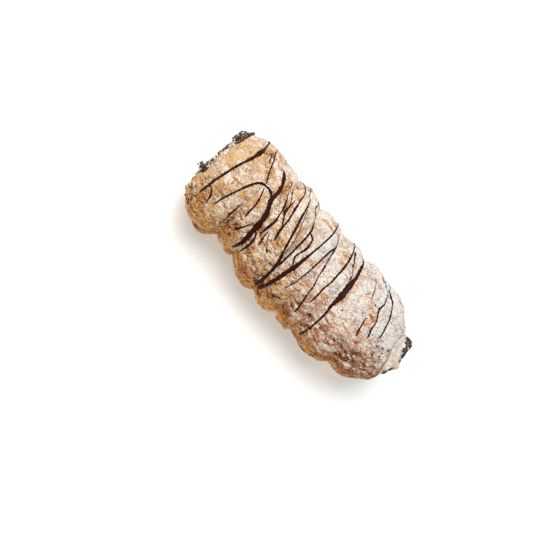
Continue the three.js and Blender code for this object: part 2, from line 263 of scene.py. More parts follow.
def bore_point(x, angle, inset=0.0):
    along = (x - WIDE_END) / ROLL_LENGTH
    radius = mix(WIDE_BORE_RADIUS, NARROW_BORE_RADIUS, along) - inset
    outward = np.stack(np.broadcast_arrays(0 * x, -radius * np.sin(angle), radius * np.cos(angle)), -1)
    return bore_middle(x) + outward


# ---- relief and finish of the crust

PATCH_WOBBLE = [(6, 0.35, 31), (2.6, 0.2, 32)]
PATCH_EDGE = (0.55, 1.25)  # where a patch fades, as shares of its size

TOP_ROUGHNESS = 0.5
FRONT_ROUGHNESS = 0.45
BACK_ROUGHNESS = 0.2
PATCH_ROUGHNESS = 0.3
SOFT_MIDDLE = math.radians(20)
SOFT_REACH = (math.radians(5), math.radians(50))
ROUGH_PATCH = (47, 46, 9, 34)  # x, degrees, half length, half angle


def patch_of(x, angle, middle_x, middle_degrees, half_length, half_degrees):
    """1 in the middle of an oval patch of the crust, 0 outside it."""
    turn = turned_from(math.radians(middle_degrees), angle)
    far = np.hypot((x - middle_x) / half_length, turn / math.radians(half_degrees))
    return 1 - smooth(far + layered(x, angle, PATCH_WOBBLE), *PATCH_EDGE)


def roughness_of(x, angle):
    """How rough the crust is: soft on top under the sugar, crackled low at the front and back."""
    side = turned_from(SOFT_MIDDLE, angle)
    rougher = np.where(side > 0, FRONT_ROUGHNESS, BACK_ROUGHNESS) * smooth(np.abs(side), *SOFT_REACH)
    return np.clip(TOP_ROUGHNESS + rougher + PATCH_ROUGHNESS * patch_of(x, angle, *ROUGH_PATCH), 0, 1)


# What the fine relief is made of, and how high it stands.
BLISTERS = {"cell": 3.3, "layer": 12, "stretch": 1.25}
PLATES = {"cell": 1.55, "layer": 14, "stretch": 1.3}
WRINKLES = {"cell": 1.9, "layer": 16, "stretch": 2.6}
GRAIN = [(0.95, 1, 17), (0.62, 0.6, 19)]
BLISTER_HEIGHT, PLATE_HEIGHT, WRINKLE_HEIGHT = 1.05, 0.85, 0.2
GRAIN_HEIGHT, GRAIN_MORE = 0.08, 0.12  # on a smooth crust, and added on a rough one
BEND = 1.2  # how far the blisters and plates are pushed out of line
RIM_REACH = (-1, 4)  # the relief is low at the rims
UNDERSIDE = (-0.6, -0.95)  # the cosine of the angle where the crust lies on the floor

# The dough's layers show low on the front beside the seam: the radians of their wave in a millimetre, its
# waver and height, and its reach from the seam and from the front line.
LAYER_WAVE, LAYER_WAVER, LAYER_HEIGHT = 4.6, 1.5, 0.3
LAYER_REACH = (1.5, 6)
LAYERED_DEGREES = (60, 25)


def dough_layers(x, angle):
    """The waves of the dough's layers, from -1 to 1, beside the seam on a coil's narrow side."""
    across, width, _ = coil_place(x, angle)
    from_edge = (1 - across) * width
    wave = np.sin(from_edge * LAYER_WAVE + LAYER_WAVER * bumps(x, angle, cell=5, layer=18))
    return wave * (1 - smooth(from_edge, *LAYER_REACH))


def relief(x, angle):
    """Height of the fine relief over the smooth crust: blisters, crackled plates, wrinkles and layers."""
    rough = roughness_of(x, angle)
    low = smooth(np.degrees(np.abs(turned_from(FRONT, angle))), *LAYERED_DEGREES)
    bend = BEND * bumps(x, angle, cell=7, layer=11)
    far, own = plates(x + bend, angle + bend / 60, **BLISTERS)
    blister = dome(far, 0.8) * (0.6 + 0.4 * own)
    far, own = plates(x + 0.5 * bend, angle + bend / 90, **PLATES)
    plate = dome(far, 0.85) * (0.55 + 0.45 * own)
    wrinkle = 1 - np.abs(bumps(x, angle + bend / 70, **WRINKLES)) * 2
    height = (
        rough * BLISTER_HEIGHT * (1 - 0.6 * low) * (blister - 0.5)
        + rough * PLATE_HEIGHT * (1 - 0.3 * low) * (plate - 0.45)
        + rough * WRINKLE_HEIGHT * wrinkle
        + (GRAIN_HEIGHT + GRAIN_MORE * rough) * layered(x, angle, GRAIN)
        + low * LAYER_HEIGHT * dough_layers(x, angle)
    )
    fade = smooth(from_ends(x, angle), *RIM_REACH)
    return height * (0.4 + 0.6 * fade) * mix(1, 0.6, smooth(np.cos(angle), *UNDERSIDE))


def crust_radius(x, angle):
    return on_floor(smooth_radius(x, angle) + relief(x, angle), angle)


# ---- meshes


def mesh_object(name, points, faces, smooth_shaded=True):
    """An object from points in millimetres and faces of three or four corners."""
    mesh = bpy.data.meshes.new(name)
    mesh.from_pydata([tuple(p) for p in np.asarray(points) * METRES], [], [tuple(f) for f in faces])
    mesh.validate()
    if smooth_shaded:
        mesh.polygons.foreach_set("use_smooth", [True] * len(mesh.polygons))
    mesh.update()
    made = bpy.data.objects.new(name, mesh)
    bpy.context.scene.collection.objects.link(made)
    return made


def give(made, name, values):
    """Writes a value for each vertex, that the material reads by name."""
    attribute = made.data.attributes.new(name, "FLOAT", "POINT")
    attribute.data.foreach_set("value", np.asarray(values, np.float32).ravel())


def ring_faces(rings, columns, closed):
    """Four-cornered faces between rings of points that run round the roll."""
    i, j = np.meshgrid(np.arange(rings if closed else rings - 1), np.arange(columns), indexing="ij")
    following, beside = (i + 1) % rings, (j + 1) % columns
    corners = [i * columns + j, i * columns + beside, following * columns + beside, following * columns + j]
    return np.stack(corners, -1).reshape(-1, 4)


def capped_tube(points, columns):
    """Faces of a tube of rings, with its two ends closed."""
    rings = len(points) // columns
    faces = [tuple(face) for face in ring_faces(rings, columns, False)]
    last = (rings - 1) * columns
    faces.append(tuple(range(columns))[::-1])
    faces.append(tuple(range(last, last + columns)))
    return faces


def joined(parts):
    """Points and faces of several closed shapes as one."""
    points, faces, start = [], [], 0
    for part_points, part_faces in parts:
        points.append(part_points)
        faces += [tuple(np.add(face, start)) for face in part_faces]
        start += len(part_points)
    return np.concatenate(points), faces


def make_crust():
    """The crust with the start of its bore, and the places of its outside's points."""
    turn = np.linspace(0, 2 * math.pi, CRUST_COLUMNS, endpoint=False)
    angle = turn + COLUMN_CROWDING * np.sin(turn - CROWDED_SIDE - math.pi)
    share = np.linspace(0, 1, CRUST_ROWS)[:, None]
    x = mix(wide_end(angle), narrow_end(angle), share)
    angles = np.broadcast_to(angle, x.shape)
    outside = roll_point(x, angles, crust_radius(x, angles))
    inside = [bore_point(narrow_end(angle) - depth, angle) for depth in BORE_DEPTHS]
    inside += [bore_point(wide_end(angle) + depth, angle) for depth in BORE_DEPTHS[::-1]]
    points = np.concatenate([outside.reshape(-1, 3), np.concatenate(inside)])
    rings = CRUST_ROWS + len(inside)
    return mesh_object("crust", points, ring_faces(rings, CRUST_COLUMNS, True)), x, angles


# How much sugar lies over the crust: by the angle round the roll, and by the place along it.
SUGAR_BY_DEGREES = [
    (-180, -0.4), (-140, -0.1), (-105, 0.5), (-70, 0.85), (-20, 0.92), (10, 0.85), (30, 0.72), (50, 0.58),
    (62, 0.42), (75, 0.15), (90, -0.15), (120, -0.4), (180, -0.4),
]
SUGAR_BY_X = [
    (-61, 0.62), (-54, 0.7), (-45, 0.82), (-34, 0.76), (-25, 0.74), (-14, 0.88), (0, 0.95), (25, 1),
    (40, 1.12), (60, 1.3),
]

# Patches of the crust, as (x, degrees, half length, half angle, less sugar, browner bake). Below 0, there is
# more sugar or the crust is paler.
PATCHES = [
    (-57, -20, 3.5, 28, 0.3, -0.2), (-57, 27, 5, 14, -0.4, -0.2), (-60, 44, 3, 14, 0.3, -0.4),
    (-51, -36, 4, 14, 0.4, 0.1), (-47, -28, 5, 18, 0.3, 0), (-46, -10, 6, 11, 0.25, -0.1),
    (-41, -8, 3, 6, 0.35, 0), (-40, 6, 3, 6, -0.35, -0.1), (-41, 25, 5, 22, 0.05, -0.05),
    (-43, 12, 3.5, 8, 0.3, -0.1), (-43, 43, 5.5, 9, -0.45, -0.1), (-40, 55, 3, 6, 0.3, 0.05),
    (-53, 56, 2.5, 8, 0.4, 0.2), (-45, 67, 3, 6, 0.2, 0), (-36, 18, 2.5, 8, 0.45, 0.1),
    (-32, -12, 4.5, 13, 0.45, 0.12), (-28.5, 6, 4, 9, -0.5, -0.35), (-23.5, 19, 4, 8, 0.55, 0),
    (-32, 19, 2.5, 9, -0.35, -0.1), (-28.5, 54, 2, 8, 0.3, 0.25), (-34, 66, 4, 7, -0.1, -0.3),
    (-20, 33, 2.2, 7, -0.3, 0), (-15, 7, 4, 16, 0.15, -0.15), (-16, 30, 2.5, 7, 0.25, -0.05),
    (-15.5, 43, 3, 7, -0.5, -0.15), (-15.5, 67, 3, 6, 0.3, 0.05), (-20, -34, 8, 14, -0.45, 0),
    (-10, 3, 4, 9, -0.25, -0.2), (-8, 26, 3.5, 10, -0.55, -0.1), (-4, -37, 6, 11, 0.5, 0.05),
    (0, -18, 6, 10, -0.6, -0.1), (4, -6, 5, 8, -0.2, -0.1), (8, -19, 3, 8, 0.4, 0.1),
    (2, 28, 3, 8, -0.3, -0.05), (4, 16, 2.5, 6, 0.25, 0), (8, 5, 2.5, 8, -0.4, -0.05),
    (-6.5, 54, 3, 7, 0.4, 0.1), (1, 54, 2.5, 7, -0.35, 0), (-2, 64, 19, 12, 0.35, -0.05),
    (9, 67, 3, 7, 0.45, 0.1), (18, 58, 4, 8, 0.35, 0.1), (2, 84, 24, 14, 0.55, 0),
    (-42, 82, 14, 13, 0.25, -0.02), (15.5, 34, 3.5, 12, 0.5, 0.2), (20.5, 2, 1.8, 28, 0.4, 0.05),
    (18, -6, 3.5, 7, 0.4, 0.1), (24, 9, 3, 10, -0.4, 0), (26, 42, 4, 7, 0.3, 0.1),
    (24, 55, 2.5, 6, -0.3, 0), (26.5, -30, 2.2, 14, 0.35, 0), (29, -7, 4, 7, 0.4, 0.1),
    (33, 5, 2.5, 7, -0.3, 0), (36, 4, 2.5, 14, 0.65, 0.2), (35, 27, 4, 12, 0.4, 0.1),
    (34, 53, 5, 6, 0.3, 0.15), (40.5, 53, 2, 6, -0.3, 0), (45, 42, 8, 26, 0.12, 0.1),
    (49, 31, 5, 7, 0.35, 0.1), (56, 46, 3, 12, 0.35, 0.15), (51, 50, 7, 22, 0.1, 0.07),
    (42.5, 60, 2.5, 6, 0.3, 0.3), (50, 18, 4, 8, -0.4, 0), (44, -28, 3, 16, -0.3, 0),
    (24, 78, 5, 8, 0.1, 0.15), (-8, 78, 3, 8, 0.2, 0.15), (48, 84, 8, 14, 0.4, 0),
]
BARE, BROWN = 4, 5  # the places of the last two values in a patch

SUGAR_BUMPS = [(9, 0.16, 21), (3.6, 0.45, 22), (1.8, 0.34, 23)]
LEDGE_SUGAR = 0.5  # more sugar lies where the crust faces up more than the roll does
RIM_LINE = (0.2, 1.4)  # how far inside the narrow rim the bare brown edge fades
RIM_BARE, RIM_BROWN = 0.4, 0.3

BAKE = 0.4  # of the crust in general
BAKE_BUMPS = [(14, 0.12, 41), (5, 0.15, 42), (2, 0.1, 43)]
GOLDEN_END = (52, 58)  # how far towards the wide end the top turns paler
GOLDEN = 0.3
SHADED_FRONT_LINE = math.radians(80)  # painted shade: the front is darker round this line
# How much painted shade is added to the bake on the front, where less light falls.
FRONT_SHADE = 0.16
RUDDY_FROM = (-5, 25)  # where the crust turns ruddy along the roll
RUDDY_DEGREES = (92, 58)
FLAKY_SIDES = (0.4, -0.2)  # the cosine of the angle where the layers start to show
BORE_BAKE = 0.2


def patches_of(x, angle, kind, least=-1.0):
    """The sum of what the patches do, where each counts for least or more."""
    return sum(max(patch[kind], least) * patch_of(x, angle, *patch[:BARE]) for patch in PATCHES)


def cover_of(x, angle):
    """How much sugar fell on the crust round about."""
    return through_knots(SUGAR_BY_DEGREES, wrapped_degrees(angle)) * through_knots(SUGAR_BY_X, x)


def fallen_on(x, angle):
    """How much sugar fell on the crust, less on the bare and brown patches."""
    unsugared = patches_of(x, angle, BARE, 0) + patches_of(x, angle, BROWN, 0)
    return cover_of(x, angle) - 0.5 * unsugared


def rim_line(x, angle):
    """1 on the bare edge of the crust along the narrow rim."""
    return 1 - smooth(narrow_end(angle) - x, *RIM_LINE)


def sugar_of(x, angle, up):
    """How much sugar lies on the crust, where up is the upward part of its normal."""
    ledge = up - np.cos(angle)
    bared = patches_of(x, angle, BARE) + RIM_BARE * rim_line(x, angle)
    return cover_of(x, angle) + layered(x, angle, SUGAR_BUMPS) + LEDGE_SUGAR * ledge - bared


def bake_and_front_shade_of(x, angle):
    """How brown the crust is baked, from 0 to 1, with painted shade that darkens the front."""
    brown = layered(x, angle, BAKE_BUMPS, start=BAKE)
    brown += patches_of(x, angle, BROWN) + RIM_BROWN * rim_line(x, angle)
    golden = smooth(-x, *GOLDEN_END) * GOLDEN * smooth(np.cos(angle), 0, 0.5)
    # The last term is painted shade, darker towards the front line.
    return brown - golden + FRONT_SHADE * smooth(np.cos(angle - SHADED_FRONT_LINE), 0.35, 0.85)


def ruddy_of(x, angle):
    """How much redder the crust is baked: towards the narrow end, on the upper side."""
    return smooth(x, *RUDDY_FROM) * smooth(np.abs(wrapped_degrees(angle)), *RUDDY_DEGREES)


def flaky_of(x, angle):
    """How far the crust shows its layers, as fine streaks along the roll: low on both sides."""
    return smooth(np.cos(angle), *FLAKY_SIDES) + 0 * x


def finish_crust(made, x, angle):
    """Gives the crust the values that its material reads."""
    bore_points = len(made.data.vertices) - x.size
    normals = np.empty(len(made.data.vertices) * 3)
    made.data.vertices.foreach_get("normal", normals)
    up = normals.reshape(-1, 3)[: x.size, 2].reshape(x.shape)
    outside = {
        "height": relief(x, angle),
        "sugar": sugar_of(x, angle, up),
        "cover": fallen_on(x, angle),
        "ruddy": ruddy_of(x, angle),
        "flaky": flaky_of(x, angle),
        # The bake also carries painted shade on the front, as well as the real bake.
        "bake_and_shade": bake_and_front_shade_of(x, angle),
    }
    for name, values in outside.items():
        in_bore = np.full(bore_points, BORE_BAKE if name == "bake_and_shade" else 0)
        give(made, name, np.concatenate([values.ravel(), in_bore]))


crust, crust_x, crust_angle = make_crust()
finish_crust(crust, crust_x, crust_angle)

# ---- chocolate

# Each stroke as (x, degrees round the roll, width).
STROKES = [
    [(-53, -90, 0.8), (-51.4, -38, 1.4), (-51.5, -22, 2.5), (-52.3, -6, 1.8), (-53.9, 11, 1.5),
     (-55.3, 40, 1.5), (-55.2, 48, 1.8), (-55.4, 64, 1.3)],
    [(-55.2, 48, 1.2), (-53.3, 47, 1.2), (-51, 54, 1.2), (-50.1, 63, 0.9)],
    [(-49.5, -90, 0.7), (-46.8, -46, 0.9), (-42.9, -13, 1.2), (-39.7, -2, 1.3)],
    [(-48.1, -35, 0.7), (-47, -30, 0.9), (-45.5, -18, 0.9)],
    [(-47.4, 54, 0.9), (-46.9, 40, 1.2), (-43.3, 10, 1.5), (-39.5, 0, 1.5), (-35.1, 2, 1.5), (-33.6, 6, 1.5)],
    [(-40.2, -30, 1), (-38.9, -32, 1.6), (-34.6, -15, 2.2), (-33.5, -6, 2.3), (-32.9, 6, 2.6),
     (-29.7, 18, 2.9), (-27.9, 33, 3.3), (-27.1, 48, 2.7), (-26.1, 64, 2.5), (-27.1, 78, 1.6)],
    [(-38.9, 2, 0.8), (-36.3, 17, 1.2), (-35.5, 25, 1.1), (-35.2, 31, 1.4), (-34.5, 39, 0.9)],
    [(-40, 30, 0.5), (-39.5, 50, 1.3), (-39.2, 56, 0.9), (-39.1, 68, 0.7)],
    [(-29.8, 36, 0.7), (-31.8, 50, 1.3), (-32.6, 55, 1.7), (-33.1, 59, 1)],
    [(-33, -30, 0.9), (-31.8, -27, 1.1), (-31, -22, 0.8)],
    [(-30.7, -29, 0.6), (-29.2, -26, 0.7), (-28.2, -20, 0.9), (-25.7, -10, 0.8)],
    [(-29.9, -18, 0.6), (-26.5, -3, 1.4), (-25.6, 7, 1), (-24.6, 16, 1.5), (-24.5, 24, 1.7),
     (-24.4, 40, 0.8)],
    [(-26.1, 42, 1.6), (-24.8, 46, 1.4), (-23.8, 52, 1.6), (-23.5, 80, 0.9)],
    [(-25.7, -17, 0.8), (-25.2, -7, 1.1), (-24.9, 0, 1.6), (-23.5, 6, 1.2), (-20.2, 17, 1.1)],
    [(-29.5, -80, 0.5), (-25.2, -43, 0.8), (-23.9, -18, 1.1), (-23, -10, 1.4), (-21.2, 6, 1.2),
     (-20.2, 19, 1.5), (-18.5, 31, 1.1)],
    [(-23.1, 29, 0.8), (-22.1, 41, 1.1), (-21.1, 48, 1)],
    [(-22.1, 30, 0.6), (-20.9, 35, 0.8), (-19.9, 38, 0.6)],
    [(-17.8, 43, 1.2), (-16, 45, 1.3)],
    [(-23.5, -80, 0.5), (-22.8, -40, 0.6), (-20.2, -23, 1), (-18, -4, 1.6), (-12.2, 30, 1.5), (-9.7, 43, 2),
     (-8.3, 58, 1.9), (-7.2, 88, 2.2)],
    [(-18.9, -18, 0.6), (-15.3, 2, 0.6), (-12.6, 15, 0.8), (-10.5, 36, 0.6)],
    [(-18.5, -80, 0.5), (-16.6, -31, 1), (-14.5, -25, 1.1), (-12, -17, 1.3), (-10.8, -9, 1.2),
     (-8.4, 46, 1.4)],
    [(-10.6, -7, 1), (-7.9, -1, 1.3), (-7.2, 4, 1.1), (-6.6, 10, 1.4), (-7.1, 24, 1.1), (-5, 32, 1.3)],
    [(-4, -90, 0.6), (-3.2, -33, 1.2), (-3.7, 8, 1.3), (-3.9, 34, 2.4), (-5.3, 92, 1.5)],
    [(-3.6, 58, 0.8), (-2.5, 60, 1.1)],
    [(-0.2, -47, 0.6), (0.8, -30, 0.8), (2.3, -23, 1.1), (1.4, -7, 1.4), (1.6, 40, 0.9), (0.8, 54, 0.9)],
    [(2.3, -22, 1.1), (3.1, -12, 1.2), (4.4, 2, 0.8), (5, 6, 1.3), (6.1, 18, 0.8), (8, 29, 1.1),
     (9.2, 39, 0.9), (11.5, 56, 1.4), (12.3, 65, 1.1)],
    [(7.5, -70, 0.5), (8.1, -42, 0.8), (10.4, -22, 1.4), (11.7, 15, 1.2), (11.6, 23, 1.1), (12.2, 32, 1.3),
     (12.7, 43, 0.8)],
    [(9.4, -36, 1), (11.1, -32, 1), (13.3, -22, 1.2), (14.7, -18, 0.6), (16.2, -13, 1), (16.9, -6, 1.4)],
    [(14, -80, 0.6), (16, -42, 1), (17.3, -25, 1.8), (18.1, -15, 1.9), (18.4, -4, 2.9), (19.2, 8, 3.3),
     (19.7, 19, 2.7), (19.9, 29, 1.7), (21, 38, 1.5), (22.3, 64, 1.2), (22.6, 89, 1.6)],
    [(25.2, -38, 0.6), (27.3, -22, 0.7), (29.9, -10, 0.7)],
    [(26.8, -48, 0.7), (28.5, -49, 1.1), (30.3, -50, 0.9), (31.8, -46, 0.8)],
    [(27, -80, 0.5), (32.6, -56, 0.7), (34.1, -44, 0.9), (36, -38, 1.2), (38.7, -31, 1), (41.5, -19, 1.1),
     (45.2, 7, 1.2), (45.1, 9, 1.6)],
    [(33, -44, 0.5), (35.7, -22, 1), (35.6, -12, 1.3), (38.7, 0, 0.8), (39.6, 9, 1.3), (41.5, 20, 1)],
    [(35.2, 4, 0.6), (34.5, 6, 0.8), (36.4, 22, 1.2), (37.9, 29, 0.7)],
]
STROKE_STEP = 0.35
SPREAD = 0.34  # how much narrower a bead is than the width in its row
THINNEST = 0.36  # a bead's least width, away from its ends
STROKE_ACROSS = 9  # points over a bead
STROKE_UNDER = 3  # points under it, inside the crust
UNDER_REACH = 0.6
BEAD_THICKNESS = (0.2, 0.3)  # and how much more for each millimetre of half width
BEAD_LIFT = 0.15  # over the smooth crust
BEAD_BRIDGING = 0.55  # 1 would bridge the dents, 0 follow them
BEAD_SUNK = 0.1
BEAD_DEPTH = 0.5  # of its underside in the crust


def stroke_places(stroke):
    """Steps along a stroke: x, arc round the roll, width, direction, and the way gone."""
    knots = np.array(stroke, float)
    knots[:, 1] = np.radians(knots[:, 1]) * ROLL_RADIUS
    run = np.concatenate([[0], np.cumsum(np.hypot(*np.diff(knots[:, :2], axis=0).T))])
    along = np.linspace(0, run[-1], max(6, int(run[-1] / STROKE_STEP)))
    x, arc, width = (through_knots(np.stack([run, column], -1), along) for column in knots.T)
    forward = np.stack([np.gradient(x), np.gradient(arc)], -1)
    forward /= np.linalg.norm(forward, axis=1, keepdims=True)
    return x, arc, width, forward, along


def half_widths(along, width, number):
    """Half a bead's width: it swells here and there and is drawn in at both ends."""
    swell = 1 + 0.08 * np.sin(along * 0.9 + 3 * number) + 0.06 * np.sin(along * 2.3 + number)
    from_end = np.minimum(along, along[-1] - along)
    drawn_in = np.sqrt(np.clip(from_end / (0.5 * width + 0.1), 0.02, 1))
    return 0.5 * swell * np.maximum(width - SPREAD, THINNEST) * drawn_in


def raggedness(along, across, width, number):
    """How far the edges of a bead wander, most on a wide one."""
    along, scale = along[:, None], np.sqrt(width)[:, None]
    coarse = 0.05 * np.sin(along * 3.1 + 2.4 * across + number) * scale
    return coarse + 0.04 * np.sin(along * 5.3 - 3.3 * across + 2 * number) * scale


def make_stroke(stroke, number):
    """A bead of chocolate over the crust: rounded across, uneven along, drawn in at both ends."""
    x, arc, width, forward, along = stroke_places(stroke)
    half = half_widths(along, width, number)[:, None]
    over = np.linspace(-1, 1, STROKE_ACROSS)
    across = np.concatenate([over, np.linspace(UNDER_REACH, -UNDER_REACH, STROKE_UNDER)])
    offset = across * half + raggedness(along, across, width, number)
    place_x = x[:, None] - offset * forward[:, 1:]
    angle = (arc[:, None] + offset * forward[:, :1]) / ROLL_RADIUS
    rough = crust_radius(place_x, angle)
    calm = smooth_radius(place_x, angle) + BEAD_LIFT
    thick = BEAD_THICKNESS[0] + BEAD_THICKNESS[1] * half
    top = mix(rough, np.maximum(rough, calm), BEAD_BRIDGING) + thick * dome(across) - BEAD_SUNK
    under = np.arange(len(across)) >= STROKE_ACROSS
    radius = np.where(under, np.minimum(rough, calm) - BEAD_DEPTH, top)
    return roll_point(place_x, angle, radius).reshape(-1, 3), len(across)


def make_chocolate():
    parts = []
    for number, stroke in enumerate(STROKES):
        points, columns = make_stroke(stroke, number)
        parts.append((points, capped_tube(points, columns)))
    return mesh_object("chocolate", *joined(parts))


chocolate = make_chocolate()

# ---- cream

# The wide end's face, as (share of the bore, x), and the narrow end's cap, as (x, share of the outline).
CREAM_FACE = [(0.03, -62.8), (0.35, -62.6), (0.7, -62.2), (0.93, -61.4), (1, -60)]
CREAM_CAP = [
    (52, 0.95), (59, 0.95), (60, 0.93), (60.8, 0.81), (61.5, 0.62), (62.2, 0.44), (63, 0.31),
    (64, 0.19), (64.8, 0.08),
]
CREAM_COLUMNS = 180
CREAM_FACE_STEPS = 40
CREAM_CAP_STEPS = 90
NECK_DEPTHS = (8, 2, 0)  # of the rings of points inside the narrow end

FACE_LUMPS = [(6, 0.35, 55), (2.6, 0.2, 56)]
# The shares of the bore between which the swirls start and end.
FACE_MIDDLE = (0.03, 0.3)
FACE_EDGE = (1, 0.85)
CAP_LUMPS = [(7, 0.6, 51), (2.8, 0.5, 52), (1.3, 0.3, 53)]
CAP_RIDGES = 6
CAP_RIDGE_HEIGHT = 0.5
CAP_RIDGE_TWIST = 0.9  # radians for each millimetre
CAP_RIDGES_FROM = (58.5, 61.5)
CAP_SUNK = 0.3


def cap_start(angle):
    return narrow_end(angle) + RIM_GAP


def cap_point(x, angle, out=0.0):
    """A point of the cap, whose middle drifts from the bore's to the peak."""
    start = cap_start(angle)
    drift = (x - start) / (PEAK_X - start)
    middle = mix(bore_middle(start), roll_point(PEAK_X, PEAK_ANGLE, PEAK_SHIFT), drift[..., None])
    outline = roll_point(x, angle, crest_radius(x, angle) + out)
    point = mix(middle, outline, through_knots(CREAM_CAP, x)[..., None])
    point[..., 0] = x
    return point


def face_relief(share, angle):
    """How far the face's swirls and lumps stand out, at a share of the bore."""
    swirl = 0.3 * np.cos(4 * angle + 8 * share) + 0.15 * np.cos(7 * angle - 5 * share)
    lumps = layered(share * WIDE_BORE_RADIUS, angle, FACE_LUMPS)
    return (swirl + lumps) * smooth(share, *FACE_MIDDLE) * smooth(share, *FACE_EDGE)


def make_face(angle):
    """The swirled face of the cream at the wide end."""
    share = np.linspace(CREAM_FACE[0][0], 1, CREAM_FACE_STEPS)[:, None] + 0 * angle
    x = through_knots(CREAM_FACE, share) - face_relief(share, angle)
    return mix(bore_middle(x), bore_point(x, angle, CREAM_GAP), share[..., None])


def make_cap(x, angle):
    twisted = CAP_RIDGES * angle + CAP_RIDGE_TWIST * (x - 57)
    ridge = CAP_RIDGE_HEIGHT * np.cos(twisted) * smooth(x, *CAP_RIDGES_FROM)
    return cap_point(x, angle, ridge + layered(x, angle, CAP_LUMPS) - CAP_SUNK)


def make_cream():
    """The filling: its face at the wide end, its neck inside the bore, and its cap."""
    angle = np.linspace(0, 2 * math.pi, CREAM_COLUMNS, endpoint=False)
    face = make_face(angle)
    neck = [bore_point(WIDE_END + 4, angle, CREAM_GAP)]
    neck += [bore_point(cap_start(angle) - depth, angle, CREAM_GAP) for depth in NECK_DEPTHS]
    cap_x = mix(cap_start(angle), PEAK_X, np.linspace(0, 1, CREAM_CAP_STEPS)[:, None])
    cap = make_cap(cap_x, angle)
    points = np.concatenate([face.reshape(-1, 3), np.concatenate(neck), cap.reshape(-1, 3)])
    made = mesh_object("cream", points, capped_tube(points, CREAM_COLUMNS))
    inner = np.zeros(len(points) - cap_x.size)
    give(made, "dust", np.concatenate([inner, dust_of(cap_x, angle).ravel()]))
    give(made, "wide", points[:, 0] < 0)
    return made


def dust_of(x, angle):
    """How much sugar lies on the cap: all over its top, and none round the peak and below it."""
    cover = 1.1 - smooth(wrapped_degrees(angle), -12, 22) * 0.9 - smooth(x, 60.5, 62.5) * 0.6
    return cover + 0.25 * bumps(x, angle, 2.2, 54)


cream = make_cream()

# ---- crumbs

RANDOM = np.random.default_rng(7)


def ball(level):
    """Corners and faces of an icosahedron, each face split in four once for each level."""
    golden = (1 + math.sqrt(5)) / 2
    corners = [
        (-1, golden, 0), (1, golden, 0), (-1, -golden, 0), (1, -golden, 0),
        (0, -1, golden), (0, 1, golden), (0, -1, -golden), (0, 1, -golden),
        (golden, 0, -1), (golden, 0, 1), (-golden, 0, -1), (-golden, 0, 1),
    ]
    faces = [
        (0, 11, 5), (0, 5, 1), (0, 1, 7), (0, 7, 10), (0, 10, 11),
        (1, 5, 9), (5, 11, 4), (11, 10, 2), (10, 7, 6), (7, 1, 8),
        (3, 9, 4), (3, 4, 2), (3, 2, 6), (3, 6, 8), (3, 8, 9),
        (4, 9, 5), (2, 4, 11), (6, 2, 10), (8, 6, 7), (9, 8, 1),
    ]
    corners = [np.array(corner) / np.linalg.norm(corner) for corner in corners]
    for _ in range(level):
        middles, finer = {}, []
        for face in faces:
            made = []
            for a, b in zip(face, face[1:] + face[:1]):
                key = (min(a, b), max(a, b))
                if key not in middles:
                    middle = corners[a] + corners[b]
                    corners.append(middle / np.linalg.norm(middle))
                    middles[key] = len(corners) - 1
                made.append(middles[key])
            (a, b, c), (ab, bc, ca) = face, made
            finer += [(a, ab, ca), (b, bc, ab), (c, ca, bc), (ab, bc, ca)]
        faces = finer
    return np.array(corners), faces


BALLS = [ball(0), ball(1)]
FINER_FROM = 0.45  # the radius from which a crumb has the finer ball's faces
CORNER_REACH = (0.72, 1.12)
SQUASH = (0.65, 1.15)
CRUMB_SIZES = (0.28, 0.54)


def crumb(middle, radius):
    """An uneven, angular crumb."""
    corners, faces = BALLS[int(radius > FINER_FROM)]
    shape = corners * RANDOM.uniform(*CORNER_REACH, (len(corners), 1)) * RANDOM.uniform(*SQUASH, 3)
    axis = Vector(RANDOM.normal(size=3)).normalized()
    turn = np.array(Matrix.Rotation(RANDOM.uniform(0, 2 * math.pi), 3, axis))
    return middle + radius * shape @ turn.T, faces


# Clusters of crumbs over the wide end, as (how many, middle in degrees, spread round, the shares of the
# roll's radius between which they lie, how far they stand out).
WIDE_CLUSTERS = [
    (300, -58, 20, (0.66, 1.04), 4.6), (90, -31, 9, (0.75, 1.02), 4), (9, -8, 3, (0.8, 1), 2.6),
    (9, -1, 2, (0.86, 0.98), 2.2), (8, 6.5, 1.5, (0.92, 1), 0.9), (9, 14, 2, (0.92, 1), 0.8),
    (3, 20, 1, (0.9, 1), 1.2), (16, 27, 2.5, (0.88, 1), 1.6), (8, 33, 1.5, (0.9, 1), 1),
    (140, 48, 7.5, (0.76, 1), 4), (8, 57, 2.5, (0.93, 1), 0.6), (5, 76, 2, (0.94, 1), 0.8),
    (110, -108, 22, (0.75, 1), 3.4), (50, 165, 9, (0.6, 0.95), 1.4), (40, 205, 8, (0.6, 0.95), 1.6),
    (70, -60, 60, (0.2, 0.6), 0.9), (40, 60, 50, (0.2, 0.7), 0.6),
]
EDGE_INSET = 0.45  # how far inside the rim that radius is taken
ON_CREAM = 0.95  # the share of the bore within which crumbs lie on the cream


def wide_face_crumbs():
    """Crumbs in clusters over the rim and the cream at the wide end."""
    for count, degrees, spread, (inner, outer), depth in WIDE_CLUSTERS:
        for _ in range(count):
            angle = math.radians(degrees + spread * RANDOM.uniform(-1, 1) * RANDOM.uniform(0.4, 1.1))
            radius = RANDOM.uniform(*CRUMB_SIZES)
            share = RANDOM.uniform(inner, outer)
            edge = float(smooth_radius(wide_end(angle) + EDGE_INSET, np.array(angle)))
            piled = smooth(outer + 0.06 - share, 0, 0.25)
            x = wide_end(angle) - depth * RANDOM.uniform(0, 1) ** 1.4 * piled
            middle = roll_point(x - 0.2, angle, share * (edge - radius))
            from_bore = np.linalg.norm(middle[1:] - bore_middle(x)[1:]) / WIDE_BORE_RADIUS
            if from_bore < ON_CREAM:
                middle[0] = min(middle[0], through_knots(CREAM_FACE, from_bore) - 0.3 * radius)
            yield crumb(middle, radius)


